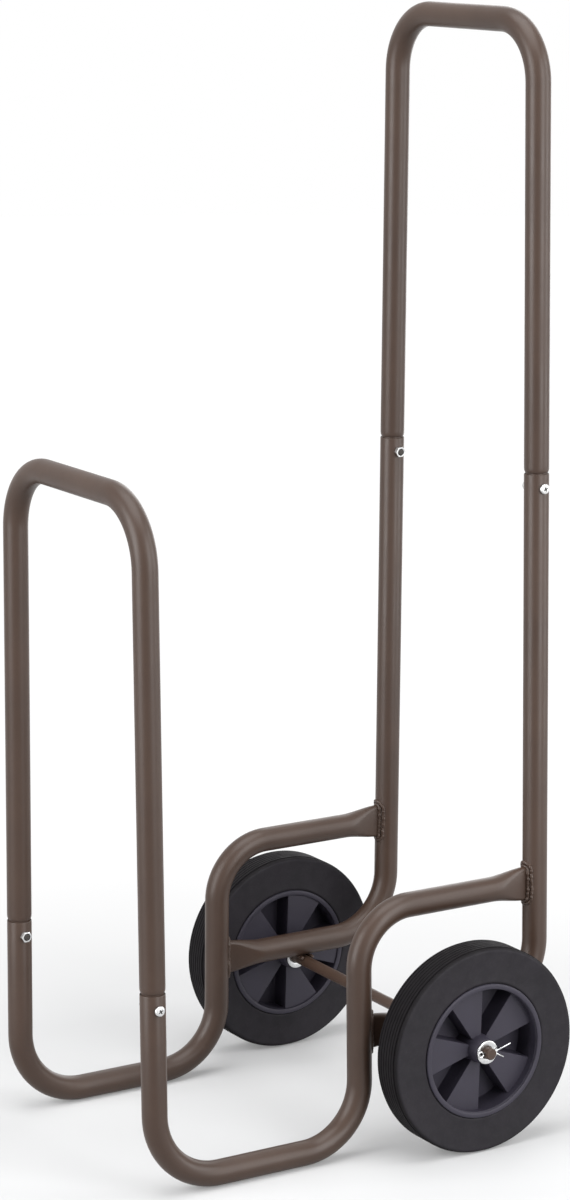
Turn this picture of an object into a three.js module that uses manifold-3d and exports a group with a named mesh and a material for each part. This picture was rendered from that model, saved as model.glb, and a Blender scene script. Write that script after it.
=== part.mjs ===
// A two-wheeled cart of bent round tube. Millimetres, +Z up, +Y to the rear, origin under the
// middle of the object at floor level.
import * as THREE from 'three';
import { mergeVertices } from 'three/addons/utils/BufferGeometryUtils.js';
import Module from 'manifold-3d';

const wasm = await Module();
wasm.setup();

// Overall layout
const wheelbase = 443; // front leg centre to rear upright centre
const floorHalfWidth = 141; // side frame centre to the middle of the cart, at the floor
const sideLean = THREE.MathUtils.degToRad(0.95); // each side frame leans inward going up
const frontSeamHeight = 205; // where the front hoop meets the rails
const rearSeamHeight = 663; // where the handle hoop meets the rear uprights
const frontHoopHeight = 676; // centre line of the front hoop's top
const handleHeight = 1103; // centre line of the handle's top
const riserOffset = 232; // front leg centre to middle riser centre
const shelfHeight = 246; // centre line of the shelf arms
const axleOffset = 338; // front leg centre to axle centre

// Tube
const tubeRadius = 12.5; // to the flats of the faceted tube
const tubeWall = 1.2;
const tubeSides = 16;
const bendSteps = 5; // facets in a right-angle bend
const footBend = 70; // centre-line bend radii
const kneeBend = 64;
const shelfBend = 58;
const tailBend = 64;
const frontHoopBend = 66;
const handleBend = 60;
const crushedHalfHeight = 17.5; // the flattened end of a tube, across the weld
const crushLength = 42; // length over which a tube goes from round to flat
const crushSteps = 3;

// Swaged joint and its bolt
const spigotLength = 34;
const swageLength = 2; // length of the shoulder at the seam
const boltDrop = 14; // bolt centre below the seam
const boltRadius = 3;
const boltHeadRadius = 5.2;
const boltHeadHeight = 3.2;
const boltHeadEdge = 1.4; // straight part of the head's side
const boltHeadCrown = 3.7; // radius at which the head's top turns flat
const boltTipChamfer = 0.6;
const boltTip = 2.5; // thread left showing past the nut
const nutAcrossFlats = 10;
const nutThickness = 5;

// Axle, washers and split pins
const axleRadius = 6;
const axleChamfer = 1;
const washerRadius = 12;
const washerThickness = 2;
const pinWireRadius = 0.8;
const pinHoleRadius = 2.1;
const pinSetback = 2.4; // pin centre beyond the outer washer
const axleOverhang = 4.8; // axle end beyond the pin centre
const pinEyeRadius = 2.9; // centre line of the eye
const pinEyeStandoff = 1; // the eye's mouth in front of the axle
const pinSplitStandoff = 1.5; // where the legs start to part, behind the axle
const pinLongLeg = { length: 18.6, spread: 16 }; // degrees
const pinShortLeg = { length: 11.4, spread: 30 };

// Wheel
const tyreRadius = 105;
const tyreWidth = 36;
const tyreShoulder = 3;
const treadGrooves = [-9, 0, 9]; // across the tread, from its middle
const treadGrooveDepth = 1.6;
const treadGrooveWidth = 2;
const tyreSegments = 40;
const rimSegments = 32;
const sidewallTaper = 1.2; // the sidewall stands in at the bead, each side
const flangeRadius = 68.4; // rim flange, where the tyre's sidewall starts
const seatRadius = 64.5; // rim under the tyre
const flangeThickness = 2.6;
const flangeRound = 1.1;
const rimHalfWidth = 18.4;
const rimMouthRadius = 63.2; // inside of the barrel at its two faces
const rimThroatRadius = 59; // inside of the barrel at the web
const panelCount = 5;
const panelPhase = THREE.MathUtils.degToRad(34.2); // middle of one front panel at rest
const panelRecess = 6; // front panels behind the flange face
const panelThickness = 2.6;
const pocketDepth = 29; // front panels to back panels, face to face
const webWall = 2.6; // side walls between the panels
const hubRadius = 14;
const hubNoseRadius = 12.4;
const hubChamfer = 1;
const hubOuterBoss = 2.4; // hub beyond the tyre's outer side
const hubInnerBoss = 15.4; // hub beyond the tyre's inner side
const boreClearance = 0.4;

// Clearances
const gap = 0.3; // between pieces that touch
const drillClearance = 0.3; // around a bolt in its hole
const fine = 16; // sides of small round pieces
const drillSides = 10;
const boltSides = 12;

// Derived places
const frontY = -wheelbase / 2;
const rearY = wheelbase / 2;
const riserY = frontY + riserOffset;
const axleY = frontY + axleOffset;
const axleZ = tyreRadius; // the tyre rests on the floor
const runHeight = tubeRadius; // and so does the ground run
const tailHeight = axleZ + axleRadius + gap + tubeRadius; // the tail lies on the axle
const sideX = height => floorHalfWidth - height * Math.tan(sideLean); // the side frame's middle
const upSide = height => height / Math.cos(sideLean); // a height, measured up the leaning frame
const washerBelowTail = tailHeight - axleZ - washerRadius; // the washer's top, below the tail's middle
const tubeCorner = tubeRadius / Math.cos(Math.PI / tubeSides);
const tailReach = Math.sqrt(tubeCorner ** 2 - washerBelowTail ** 2);
const washerInnerX = sideX(tailHeight) + tailReach + gap; // against the tail's lower flank
const hubInnerX = washerInnerX + washerThickness + gap;
const wheelX = hubInnerX + hubInnerBoss + tyreWidth / 2;
const hubOuterX = wheelX + tyreWidth / 2 + hubOuterBoss;
const washerOuterX = hubOuterX + gap;
const pinX = washerOuterX + washerThickness + pinSetback;
const axleHalfLength = pinX + axleOverhang;

const paint = () => new THREE.MeshStandardMaterial({ color: 0x6e5f55, roughness: 0.45, metalness: 0.35 });
const zinc = () => new THREE.MeshStandardMaterial({ color: 0xc9cacb, roughness: 0.3, metalness: 0.9 });
const rubber = () => new THREE.MeshStandardMaterial({ color: 0x38383c, roughness: 0.8, metalness: 0 });
const plastic = () => new THREE.MeshStandardMaterial({ color: 0x48464f, roughness: 0.55, metalness: 0 });

// Booleans

function toSolid(geometry) {
  const bare = geometry.clone();
  bare.deleteAttribute('normal');
  bare.deleteAttribute('uv');
  const merged = mergeVertices(bare, 1e-4);
  const mesh = new wasm.Mesh({
    numProp: 3,
    vertProperties: new Float32Array(merged.attributes.position.array),
    triVerts: new Uint32Array(merged.index.array),
  });
  return new wasm.Manifold(mesh);
}

function toGeometry(solid) {
  const mesh = solid.getMesh();
  const geometry = new THREE.BufferGeometry();
  geometry.setAttribute('position', new THREE.BufferAttribute(mesh.vertProperties, 3));
  geometry.setIndex(new THREE.BufferAttribute(mesh.triVerts, 1));
  geometry.computeVertexNormals();
  return geometry;
}

// A round bar along X, for shafts and for the drills that cut their holes.
function barAlongX(radius, length, sides) {
  return new THREE.CylinderGeometry(radius, radius, length, sides).rotateZ(Math.PI / 2);
}

// Turns a closed outline of [along, radius] pairs about the X axis.
function turnedAboutX(outline, segments) {
  const points = outline.map(([along, radius]) => new THREE.Vector2(radius, along));
  points.push(points[0].clone());
  return new THREE.LatheGeometry(points, segments).rotateZ(-Math.PI / 2);
}

// Bent tube

// A flat route through corners given in the route's own plane, with a bend of its own radius at
// each corner between the ends. Each station has a place, a heading and the distance travelled.
function bentRoute(corners, radii, toSpace) {
  const flat = [{ place: corners[0].clone(), heading: corners[1].clone().sub(corners[0]).normalize() }];
  for (let i = 1; i < corners.length - 1; i += 1) {
    const corner = corners[i];
    const into = corner.clone().sub(corners[i - 1]).normalize();
    const out = corners[i + 1].clone().sub(corner).normalize();
    const turn = Math.atan2(into.cross(out), into.dot(out));
    const setback = radii[i - 1] * Math.tan(Math.abs(turn) / 2);
    const start = corner.clone().addScaledVector(into, -setback);
    const toCentre = new THREE.Vector2(-into.y, into.x).multiplyScalar(Math.sign(turn) * radii[i - 1]);
    const centre = start.clone().add(toCentre);
    for (let k = 0; k <= bendSteps; k += 1) {
      const angle = (turn * k) / bendSteps;
      flat.push({
        place: start.clone().rotateAround(centre, angle),
        heading: into.clone().rotateAround(new THREE.Vector2(), angle),
      });
    }
  }
  const last = corners.length - 1;
  const lastHeading = corners[last].clone().sub(corners[last - 1]).normalize();
  flat.push({ place: corners[last].clone(), heading: lastHeading });
  return flat.map(station => ({ place: toSpace(station.place), heading: toSpace(station.heading) }));
}

const inSidePlane = p => new THREE.Vector3(0, p.x, p.y);
const inHoopPlane = p => new THREE.Vector3(p.x, 0, p.y);

// A station moved along its own heading.
function shifted(station, distance) {
  const place = station.place.clone().addScaledVector(station.heading, distance);
  return { place, heading: station.heading };
}

// The section of a tube pressed flat keeps its girth: taller by the press, thinner by the rest.
function pressedSection(radius, halfHeight) {
  const halfWidth = (Math.PI * radius - 2 * halfHeight) / (Math.PI - 2);
  return { halfHeight, halfWidth };
}

const roundSection = radius => ({ halfHeight: radius, halfWidth: radius });

// The ring of a section's corners. Its flats, not its corners, lie at the section's radius.
function sectionRing(station, section, crossways, sides) {
  const upright = new THREE.Vector3().crossVectors(station.heading, crossways).normalize();
  const level = new THREE.Vector3().crossVectors(upright, station.heading);
  const points = [];
  for (let i = 0; i < sides; i += 1) {
    const angle = ((i + 0.5) * 2 * Math.PI) / sides;
    const flatPart = (section.halfHeight - section.halfWidth) * Math.sign(Math.sin(angle));
    const corner = section.halfWidth / Math.cos(Math.PI / sides);
    const up = corner * Math.sin(angle) + flatPart;
    const across = corner * Math.cos(angle);
    points.push(station.place.clone().addScaledVector(upright, up).addScaledVector(level, across));
  }
  return points;
}

// Skins rings of points into a closed solid. With a bore, the outer and inner rings are joined by
// flat collars at both ends; without one, the ends are capped.
function skinned(outerRings, innerRings) {
  const sides = outerRings[0].length;
  const count = outerRings.length;
  const vertices = [...outerRings, ...innerRings].flat().flatMap(p => [p.x, p.y, p.z]);
  const index = [];
  const quad = (a, b, c, d) => index.push(a, b, c, a, c, d);
  for (let i = 0; i < sides; i += 1) {
    const next = (i + 1) % sides;
    for (let r = 0; r < count - 1; r += 1) {
      const here = r * sides;
      const there = here + sides;
      quad(here + i, here + next, there + next, there + i);
    }
  }
  const lastRing = (count - 1) * sides;
  if (innerRings.length === 0) {
    for (let i = 1; i < sides - 1; i += 1) {
      index.push(0, i + 1, i);
      index.push(lastRing, lastRing + i, lastRing + i + 1);
    }
  } else {
    const innerBase = count * sides;
    const innerLast = innerBase + (innerRings.length - 1) * sides;
    for (let i = 0; i < sides; i += 1) {
      const next = (i + 1) % sides;
      for (let r = 0; r < innerRings.length - 1; r += 1) {
        const here = innerBase + r * sides;
        const there = here + sides;
        quad(here + next, here + i, there + i, there + next);
      }
      quad(next, i, innerBase + i, innerBase + next);
      quad(lastRing + i, lastRing + next, innerLast + next, innerLast + i);
    }
  }
  const geometry = new THREE.BufferGeometry();
  geometry.setAttribute('position', new THREE.Float32BufferAttribute(vertices, 3));
  geometry.setIndex(index);
  geometry.computeVertexNormals();
  return geometry;
}

// The flats of a tube face along and across the crossways direction.
function tube(stations, crossways) {
  const outer = stations.map(s => sectionRing(s, s.outer, crossways, tubeSides));
  const inner = stations.map(s => sectionRing(s, s.inner, crossways, tubeSides));
  return skinned(outer, inner);
}

const plainTube = station => ({
  ...station,
  outer: roundSection(tubeRadius),
  inner: roundSection(tubeRadius - tubeWall),
});

// Presses the last stretch of a route flat, in equal steps with an even swell.
function crushedEnd(end) {
  const stations = [];
  for (let k = 0; k <= crushSteps; k += 1) {
    const progress = k / crushSteps;
    const swell = THREE.MathUtils.smoothstep(progress, 0, 1) * (crushedHalfHeight - tubeRadius);
    const outer = pressedSection(tubeRadius, tubeRadius + swell);
    const inner = { halfHeight: outer.halfHeight - tubeWall, halfWidth: outer.halfWidth - tubeWall };
    stations.push({ ...shifted(end, (progress - 1) * crushLength), outer, inner });
  }
  return stations;
}

// A tube in the plane of a side frame that starts at a joint's seam as an open socket and ends
// crushed, ready to weld. Its flats are level with the floor although the frame leans.
function socketedTube(corners, radii, outward) {
  const route = bentRoute(corners, radii, inSidePlane);
  const stations = route.slice(0, -1).map(plainTube);
  stations.push(...crushedEnd(route[route.length - 1]));
  const crossways = new THREE.Vector3(1, 0, 0).applyAxisAngle(new THREE.Vector3(0, 1, 0), outward * sideLean);
  return toGeometry(toSolid(tube(stations, crossways)).subtract(jointDrill(corners[0])));
}

// The cut for a joint bolt, across both walls of a tube standing in the side frame's plane.
function jointDrill(seam) {
  const drill = barAlongX(boltRadius + drillClearance, 4 * tubeRadius, drillSides);
  return toSolid(drill.translate(0, seam.x, seam.y - boltDrop));
}

// Frame pieces

function railGeometry(outward) {
  const corners = [
    new THREE.Vector2(frontY, upSide(frontSeamHeight)),
    new THREE.Vector2(frontY, upSide(runHeight)),
    new THREE.Vector2(riserY, upSide(runHeight)),
    new THREE.Vector2(riserY, upSide(shelfHeight)),
    new THREE.Vector2(rearY - tubeRadius - gap, upSide(shelfHeight)),
  ];
  return socketedTube(corners, [footBend, kneeBend, shelfBend], outward);
}

function rearUprightGeometry(outward) {
  const corners = [
    new THREE.Vector2(rearY, upSide(rearSeamHeight)),
    new THREE.Vector2(rearY, upSide(tailHeight)),
    new THREE.Vector2(riserY + tubeRadius + gap, upSide(tailHeight)),
  ];
  return socketedTube(corners, [tailBend], outward);
}

// A hoop: two legs that follow the side frames' lean, a bend at each top corner, and a swaged
// spigot on each leg that slips into the socket below its seam.
function hoopGeometry(seamHeight, topHeight, bendRadius) {
  const corners = [
    new THREE.Vector2(-sideX(seamHeight), seamHeight),
    new THREE.Vector2(-sideX(topHeight), topHeight),
    new THREE.Vector2(sideX(topHeight), topHeight),
    new THREE.Vector2(sideX(seamHeight), seamHeight),
  ];
  const route = bentRoute(corners, [bendRadius, bendRadius], inHoopPlane);
  const start = route[0];
  const end = route[route.length - 1];
  const spigotOuter = tubeRadius - tubeWall - gap;
  const stations = [
    swaged(shifted(start, -spigotLength), spigotOuter),
    swaged(shifted(start, gap), spigotOuter),
    swaged(shifted(start, gap + swageLength / 4), tubeRadius - tubeWall / 2),
    swaged(shifted(start, gap + swageLength), tubeRadius),
    ...route.slice(1, -1).map(plainTube),
    swaged(shifted(end, -gap - swageLength), tubeRadius),
    swaged(shifted(end, -gap - swageLength / 4), tubeRadius - tubeWall / 2),
    swaged(shifted(end, -gap), spigotOuter),
    swaged(shifted(end, spigotLength), spigotOuter),
  ];
  let solid = toSolid(tube(stations, new THREE.Vector3(0, 1, 0)));
  for (const [station, along] of [[start, -boltDrop], [end, boltDrop]]) {
    const hole = shifted(station, along);
    const drill = barAlongX(boltRadius + drillClearance, 4 * tubeRadius, drillSides);
    drill.rotateY(-Math.sign(hole.place.x) * sideLean);
    solid = solid.subtract(toSolid(drill.translate(hole.place.x, hole.place.y, hole.place.z)));
  }
  return toGeometry(solid);
}

const swaged = (station, radius) => ({
  ...station,
  outer: roundSection(radius),
  inner: roundSection(radius - tubeWall),
});

// Fasteners: a bolt or nut lies along +X, head outward, with the tube's centre at its origin

function boltGeometry() {
  const seat = tubeRadius + gap;
  const tip = -(seat + nutThickness + gap + boltTip);
  const outline = [
    [tip, 0],
    [tip, boltRadius - boltTipChamfer],
    [tip + boltTipChamfer, boltRadius],
    [seat, boltRadius],
    [seat, boltHeadRadius],
    [seat + boltHeadEdge, boltHeadRadius],
    [seat + boltHeadHeight, boltHeadCrown],
    [seat + boltHeadHeight, 0],
  ];
  const points = outline.map(([along, radius]) => new THREE.Vector2(radius, along));
  return new THREE.LatheGeometry(points, boltSides).rotateZ(-Math.PI / 2);
}

function nutGeometry() {
  const cornerRadius = nutAcrossFlats / Math.sqrt(3);
  const corner = i => new THREE.Vector2(cornerRadius, 0).rotateAround(new THREE.Vector2(), (i * Math.PI) / 3);
  const outline = new THREE.Shape([0, 1, 2, 3, 4, 5].map(corner));
  const bore = new THREE.Path().absarc(0, 0, boltRadius + drillClearance, 0, 2 * Math.PI, true);
  outline.holes.push(bore);
  const settings = { depth: nutThickness, bevelEnabled: false, curveSegments: 8 };
  const nut = new THREE.ExtrudeGeometry(outline, settings);
  return nut.rotateY(Math.PI / 2).translate(-(tubeRadius + gap + nutThickness), 0, 0);
}

function washerGeometry() {
  const outline = new THREE.Shape().absarc(0, 0, washerRadius, 0, 2 * Math.PI, false);
  outline.holes.push(new THREE.Path().absarc(0, 0, axleRadius + gap, 0, 2 * Math.PI, true));
  const settings = { depth: washerThickness, bevelEnabled: false, curveSegments: fine / 2 };
  return new THREE.ExtrudeGeometry(outline, settings).rotateY(Math.PI / 2);
}

function axleGeometry() {
  const points = [
    [-axleHalfLength, 0],
    [-axleHalfLength, axleRadius - axleChamfer],
    [-axleHalfLength + axleChamfer, axleRadius],
    [axleHalfLength - axleChamfer, axleRadius],
    [axleHalfLength, axleRadius - axleChamfer],
    [axleHalfLength, 0],
  ].map(([along, radius]) => new THREE.Vector2(radius, along));
  let rod = toSolid(new THREE.LatheGeometry(points, fine).rotateZ(-Math.PI / 2));
  for (const side of [-1, 1]) {
    const drill = new THREE.CylinderGeometry(pinHoleRadius, pinHoleRadius, 4 * axleRadius, drillSides);
    rod = rod.subtract(toSolid(drill.translate(side * pinX, 0, 0)));
  }
  return toGeometry(rod);
}

// A split pin through the axle along Y: one wire that runs in, round an eye and back out, with
// its two legs opened behind the axle.
function splitPinGeometry() {
  const legOffset = pinWireRadius + gap / 2;
  const split = axleRadius + pinSplitStandoff;
  const eyeReach = axleRadius + pinEyeStandoff;
  const points = [];
  const leg = (settings, side) => {
    const angle = THREE.MathUtils.degToRad(settings.spread);
    const rise = settings.length * Math.sin(angle);
    const tip = new THREE.Vector2(split + settings.length * Math.cos(angle), legOffset + rise);
    return [tip, new THREE.Vector2(split, legOffset)].map(p => new THREE.Vector2(p.x, side * p.y));
  };
  points.push(...leg(pinLongLeg, 1));
  points.push(new THREE.Vector2(-eyeReach, legOffset));
  const eyeCentre = -eyeReach - Math.sqrt(pinEyeRadius ** 2 - legOffset ** 2);
  const mouth = Math.asin(legOffset / pinEyeRadius);
  const eyeSteps = 10;
  for (let k = 1; k < eyeSteps; k += 1) {
    const angle = mouth + (k / eyeSteps) * 2 * (Math.PI - mouth);
    const around = new THREE.Vector2(Math.cos(angle), Math.sin(angle)).multiplyScalar(pinEyeRadius);
    points.push(new THREE.Vector2(eyeCentre + around.x, around.y));
  }
  points.push(new THREE.Vector2(-eyeReach, -legOffset));
  points.push(...leg(pinShortLeg, -1).reverse());
  const stations = points.map((p, i) => {
    const before = points[Math.max(i - 1, 0)];
    const after = points[Math.min(i + 1, points.length - 1)];
    const heading = after.clone().sub(before).normalize();
    return { place: inSidePlane(p), heading: inSidePlane(heading) };
  });
  const normal = new THREE.Vector3(1, 0, 0);
  const rings = stations.map(s => sectionRing(s, roundSection(pinWireRadius), normal, 6));
  return skinned(rings, []);
}

// Wheel pieces, centred on the wheel, with the wheel's outer side towards +X

function tyreGeometry() {
  const half = tyreWidth / 2;
  const bead = flangeRadius + gap;
  const seat = rimHalfWidth - flangeThickness - gap;
  const halfGroove = treadGrooveWidth / 2;
  const outline = [
    [-half + sidewallTaper, bead],
    [-half, tyreRadius - tyreShoulder],
    [-half + tyreShoulder, tyreRadius],
  ];
  for (const groove of treadGrooves) {
    outline.push([groove - halfGroove, tyreRadius]);
    outline.push([groove, tyreRadius - treadGrooveDepth]);
    outline.push([groove + halfGroove, tyreRadius]);
  }
  outline.push([half - tyreShoulder, tyreRadius]);
  outline.push([half, tyreRadius - tyreShoulder]);
  outline.push([half - sidewallTaper, bead]);
  outline.push([seat, bead]);
  outline.push([seat, seatRadius + gap]);
  outline.push([-seat, seatRadius + gap]);
  outline.push([-seat, bead]);
  // Its facets, not its corners, lie at the tyre's radius, and one of them is on the floor.
  const corner = 1 / Math.cos(Math.PI / tyreSegments);
  const tyre = turnedAboutX(outline, tyreSegments).rotateX(Math.PI / tyreSegments);
  return tyre.scale(1, corner, corner);
}

// The barrel that the tyre sits on: two flanges outside, a waist inside where the web joins.
function rimBarrel() {
  const outer = rimHalfWidth;
  const shoulder = rimHalfWidth - flangeThickness;
  const front = rimHalfWidth - panelRecess;
  const back = front - pocketDepth;
  const outline = [
    [-outer, rimMouthRadius],
    [-outer, flangeRadius - flangeRound],
    [flangeRound - outer, flangeRadius],
    [-shoulder, flangeRadius],
    [-shoulder, seatRadius],
    [shoulder, seatRadius],
    [shoulder, flangeRadius],
    [outer - flangeRound, flangeRadius],
    [outer, flangeRadius - flangeRound],
    [outer, rimMouthRadius],
    [front, rimThroatRadius],
    [back, rimThroatRadius],
  ];
  return toSolid(turnedAboutX(outline, rimSegments));
}

function rimHub() {
  const inner = -tyreWidth / 2 - hubInnerBoss;
  const outer = tyreWidth / 2 + hubOuterBoss;
  const bore = axleRadius + boreClearance;
  const outline = [
    [inner, bore],
    [inner, hubRadius - hubChamfer],
    [inner + hubChamfer, hubRadius],
    [rimHalfWidth - panelRecess - panelThickness, hubRadius],
    [outer - hubChamfer, hubNoseRadius],
    [outer, hubNoseRadius - hubChamfer],
    [outer, bore],
  ];
  return toSolid(turnedAboutX(outline, fine));
}

// A wedge of the web seen along the axle, from the hub to the barrel.
function webPanel(middle, spread, from, to) {
  const root = (hubRadius + axleRadius) / 2;
  const tip = (seatRadius + rimThroatRadius) / 2;
  const shape = new THREE.Shape();
  shape.absarc(0, 0, tip, middle - spread / 2, middle + spread / 2, false);
  shape.absarc(0, 0, root, middle + spread / 2, middle - spread / 2, true);
  shape.closePath();
  const settings = { depth: to - from, bevelEnabled: false, curveSegments: 4 };
  const panel = new THREE.ExtrudeGeometry(shape, settings);
  // The shape's x and y become the wheel's Y and Z, and its depth runs along X.
  panel.applyMatrix4(new THREE.Matrix4().makeBasis(
    new THREE.Vector3(0, 1, 0), new THREE.Vector3(0, 0, 1), new THREE.Vector3(1, 0, 0)));
  return toSolid(panel.translate(from, 0, 0));
}

// A side wall of a pocket: a radial plate from the front panels to the back panels.
function webSideWall(angle) {
  const root = (hubRadius + axleRadius) / 2;
  const tip = (seatRadius + rimThroatRadius) / 2;
  const front = rimHalfWidth - panelRecess;
  const wall = new THREE.BoxGeometry(pocketDepth, tip - root, webWall);
  wall.translate(front - pocketDepth / 2, (root + tip) / 2, 0);
  return toSolid(wall.rotateX(angle));
}

// The corrugated web: front panels and back panels turn about, joined by radial walls, so that
// each gap between two front panels is a deep pocket. The phase is the middle of a front panel.
function rimGeometry(phase) {
  let solid = rimBarrel().add(rimHub());
  const pitch = (2 * Math.PI) / panelCount;
  const front = rimHalfWidth - panelRecess;
  const back = front - pocketDepth;
  for (let i = 0; i < panelCount; i += 1) {
    const middle = phase + i * pitch;
    const wallTurn = pitch / 4;
    solid = solid.add(webPanel(middle, pitch / 2, front - panelThickness, front));
    solid = solid.add(webPanel(middle + pitch / 2, pitch / 2, back, back + panelThickness));
    solid = solid.add(webSideWall(middle - wallTurn));
    solid = solid.add(webSideWall(middle + wallTurn));
  }
  const bore = barAlongX(axleRadius + boreClearance, 2 * (tyreWidth + hubInnerBoss), fine);
  return toGeometry(solid.subtract(toSolid(bore)));
}

// Assembly

const cart = new THREE.Group();

function piece(name, geometry, material, parent) {
  const mesh = new THREE.Mesh(geometry, material);
  mesh.name = name;
  parent.add(mesh);
  return mesh;
}

// A bolt and its nut across a tube of the side frame, head on the outside of the cart.
function joint(name, seamY, seamHeight, parent) {
  const group = new THREE.Group();
  group.position.set(0, seamY, upSide(seamHeight) - boltDrop);
  parent.add(group);
  piece(`${name}_bolt`, boltGeometry(), zinc(), group);
  piece(`${name}_nut`, nutGeometry(), zinc(), group);
}

function sideFrame(name, outward) {
  const frame = new THREE.Group();
  frame.position.x = outward * floorHalfWidth;
  frame.rotation.y = -outward * sideLean;
  cart.add(frame);
  piece(`${name}_rail`, railGeometry(outward), paint(), frame);
  piece(`${name}_rear_upright`, rearUprightGeometry(outward), paint(), frame);
  const fasteners = new THREE.Group();
  fasteners.rotation.z = outward > 0 ? 0 : Math.PI;
  frame.add(fasteners);
  joint(`front_${name}`, outward * frontY, frontSeamHeight, fasteners);
  joint(`rear_${name}`, outward * rearY, rearSeamHeight, fasteners);
}

// A wheel and what holds it on the axle. The left set is the mirror image of the right one.
function wheelSet(name, outward) {
  const onAxle = new THREE.Group();
  onAxle.position.set(0, axleY, axleZ);
  cart.add(onAxle);
  const turned = new THREE.Group();
  turned.rotation.z = outward > 0 ? 0 : Math.PI;
  onAxle.add(turned);
  const phase = outward > 0 ? panelPhase : Math.PI - panelPhase;
  piece(`${name}_tyre`, tyreGeometry(), rubber(), turned).position.x = wheelX;
  piece(`${name}_rim`, rimGeometry(phase), plastic(), turned).position.x = wheelX;
  piece(`${name}_inner_washer`, washerGeometry(), zinc(), turned).position.x = washerInnerX;
  piece(`${name}_outer_washer`, washerGeometry(), zinc(), turned).position.x = washerOuterX;
  piece(`${name}_split_pin`, splitPinGeometry(), zinc(), onAxle).position.x = outward * pinX;
}

const frontHoop = hoopGeometry(frontSeamHeight, frontHoopHeight, frontHoopBend);
const handleHoop = hoopGeometry(rearSeamHeight, handleHeight, handleBend);
piece('front_hoop', frontHoop, paint(), cart).position.y = frontY;
piece('handle_hoop', handleHoop, paint(), cart).position.y = rearY;
for (const [name, outward] of [['left', -1], ['right', 1]]) {
  sideFrame(name, outward);
  wheelSet(name, outward);
}
piece('axle', axleGeometry(), paint(), cart).position.set(0, axleY, axleZ);

export default cart;
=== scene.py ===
import math
import random
import bmesh
import bpy
from mathutils import Matrix, Vector


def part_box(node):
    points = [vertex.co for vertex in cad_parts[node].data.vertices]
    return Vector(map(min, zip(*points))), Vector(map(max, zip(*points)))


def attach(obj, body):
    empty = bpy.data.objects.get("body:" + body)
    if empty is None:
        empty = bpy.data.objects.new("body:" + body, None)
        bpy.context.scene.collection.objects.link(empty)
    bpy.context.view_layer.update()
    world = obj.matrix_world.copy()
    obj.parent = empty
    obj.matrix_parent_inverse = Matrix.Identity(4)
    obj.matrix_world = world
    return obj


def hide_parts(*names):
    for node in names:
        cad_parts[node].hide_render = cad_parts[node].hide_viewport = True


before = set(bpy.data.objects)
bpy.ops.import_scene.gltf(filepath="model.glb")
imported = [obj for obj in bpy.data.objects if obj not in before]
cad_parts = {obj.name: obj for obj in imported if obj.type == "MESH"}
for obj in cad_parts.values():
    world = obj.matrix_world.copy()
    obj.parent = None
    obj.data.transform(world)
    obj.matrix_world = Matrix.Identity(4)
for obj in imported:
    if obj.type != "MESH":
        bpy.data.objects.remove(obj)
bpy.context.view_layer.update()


# Camera
# It stands to the front right of the cart, at a standing person's chest height, and looks down a
# little. The lens is long, so that the legs stay nearly parallel.
camera_data = bpy.data.cameras.new("camera")
camera_data.lens = 104.97
camera = bpy.data.objects.new("camera", camera_data)
camera_azimuth = math.radians(58.571)
camera_elevation = math.radians(12.087)
camera_roll = math.radians(-0.044)
camera.matrix_world = (
    Matrix.Translation((2.9024, -1.7636, 1.2636))
    @ Matrix.Rotation(camera_azimuth, 4, "Z")
    @ Matrix.Rotation(math.pi / 2 - camera_elevation, 4, "X")
    @ Matrix.Rotation(camera_roll, 4, "Z")
)
bpy.context.collection.objects.link(camera)
bpy.context.scene.camera = camera


# Paint of the frame
# The steel is sprayed with a satin bronze-brown powder and baked. The skin is a little mottled,
# has a fine orange peel, and is rubbed dull where the ground runs slide over a floor.


def shade_of(red, green, blue):
    """A colour read from a screen, 0 to 255, as the linear colour that a material wants."""
    channels = [c / 255 for c in (red, green, blue)]
    return [c / 12.92 if c <= 0.04045 else ((c + 0.055) / 1.055) ** 2.4 for c in channels] + [1]


def new_finish(name):
    finish = bpy.data.materials.new(name)
    finish.use_nodes = True
    tree = finish.node_tree
    return finish, tree, tree.nodes["Principled BSDF"]


def feed_input(tree, socket, value):
    if isinstance(value, bpy.types.NodeSocket):
        tree.links.new(value, socket)
    else:
        socket.default_value = value


def add_node(tree, kind, inputs, **settings):
    node = tree.nodes.new("ShaderNode" + kind)
    for name, value in settings.items():
        setattr(node, name, value)
    for name, value in inputs.items():
        feed_input(tree, node.inputs[name], value)
    return node


def grain(tree, place, scale, detail=3.0, roughness=0.5):
    """Noise between 0 and 1; scale is the number of blotches in a metre."""
    inputs = {"Vector": place, "Scale": scale, "Detail": detail, "Roughness": roughness}
    return add_node(tree, "TexNoise", inputs).outputs["Fac"]


def ranged(tree, value, low, high, new_low=0.0, new_high=1.0):
    inputs = {"Value": value, "From Min": low, "From Max": high, "To Min": new_low, "To Max": new_high}
    return add_node(tree, "MapRange", inputs).outputs["Result"]


def sums(tree, work, first, second):
    node = add_node(tree, "Math", {}, operation=work)
    feed_input(tree, node.inputs[0], first)
    feed_input(tree, node.inputs[1], second)
    return node.outputs[0]


def mixed(tree, share, first, second):
    node = add_node(tree, "Mix", {}, data_type="RGBA")
    feed_input(tree, node.inputs[0], share)
    feed_input(tree, node.inputs[6], first)
    feed_input(tree, node.inputs[7], second)
    return node.outputs[2]


def bumped(tree, surface, height, strength, distance):
    inputs = {"Height": height, "Strength": strength, "Distance": distance}
    bump = add_node(tree, "Bump", inputs)
    tree.links.new(bump.outputs["Normal"], surface.inputs["Normal"])
    return bump


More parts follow.
